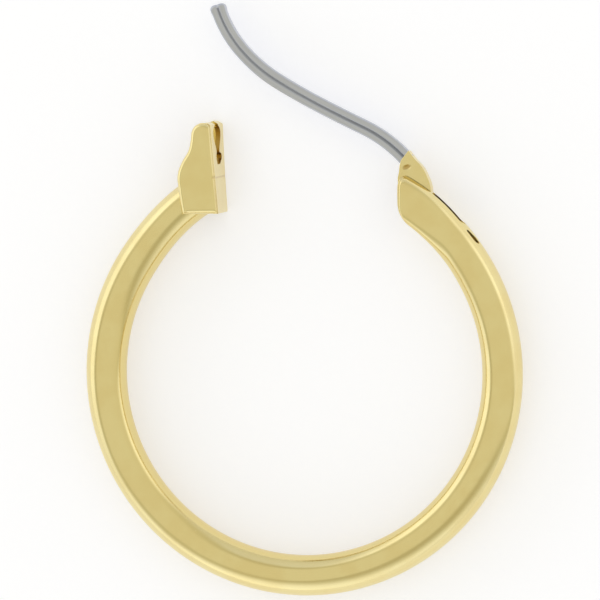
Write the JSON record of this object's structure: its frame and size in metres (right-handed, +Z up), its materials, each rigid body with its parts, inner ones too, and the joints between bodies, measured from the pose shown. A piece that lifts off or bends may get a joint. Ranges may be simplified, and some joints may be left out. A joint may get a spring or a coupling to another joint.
{
  "type": "hoop earring",
  "caption": "Open hollow-tube hoop earring lying on its side, with a hinged steel ear post and a folded keyhole catch.",
  "frame": {"origin": "middle of the underside of the whole model as it lies on its side with its post open", "axes": "+Z up, square to the hoop's plane; +Y from the bottom of the hoop towards its opening and the post; +X from the catch towards the hinge"},
  "size_m": [0.03, 0.0398, 0.0035],
  "materials": {
    "gold": "polished pale gold plate",
    "steel": "drawn along its length"
  },
  "bodies": {
    "hoop": {"hoop_tube": "gold", "catch": "gold", "hinge_pin": "steel"},
    "post_arm": {"hinge_lever": "gold", "post": "steel"}
  },
  "joints": [
    {"name": "post_hinge", "type": "hinge", "parent": "hoop", "child": "post_arm", "pos_m": [0.00782, 0.00638, 0.00176], "axis": [0, 0, 1], "range_deg": [-20, 26.8]}
  ]
}
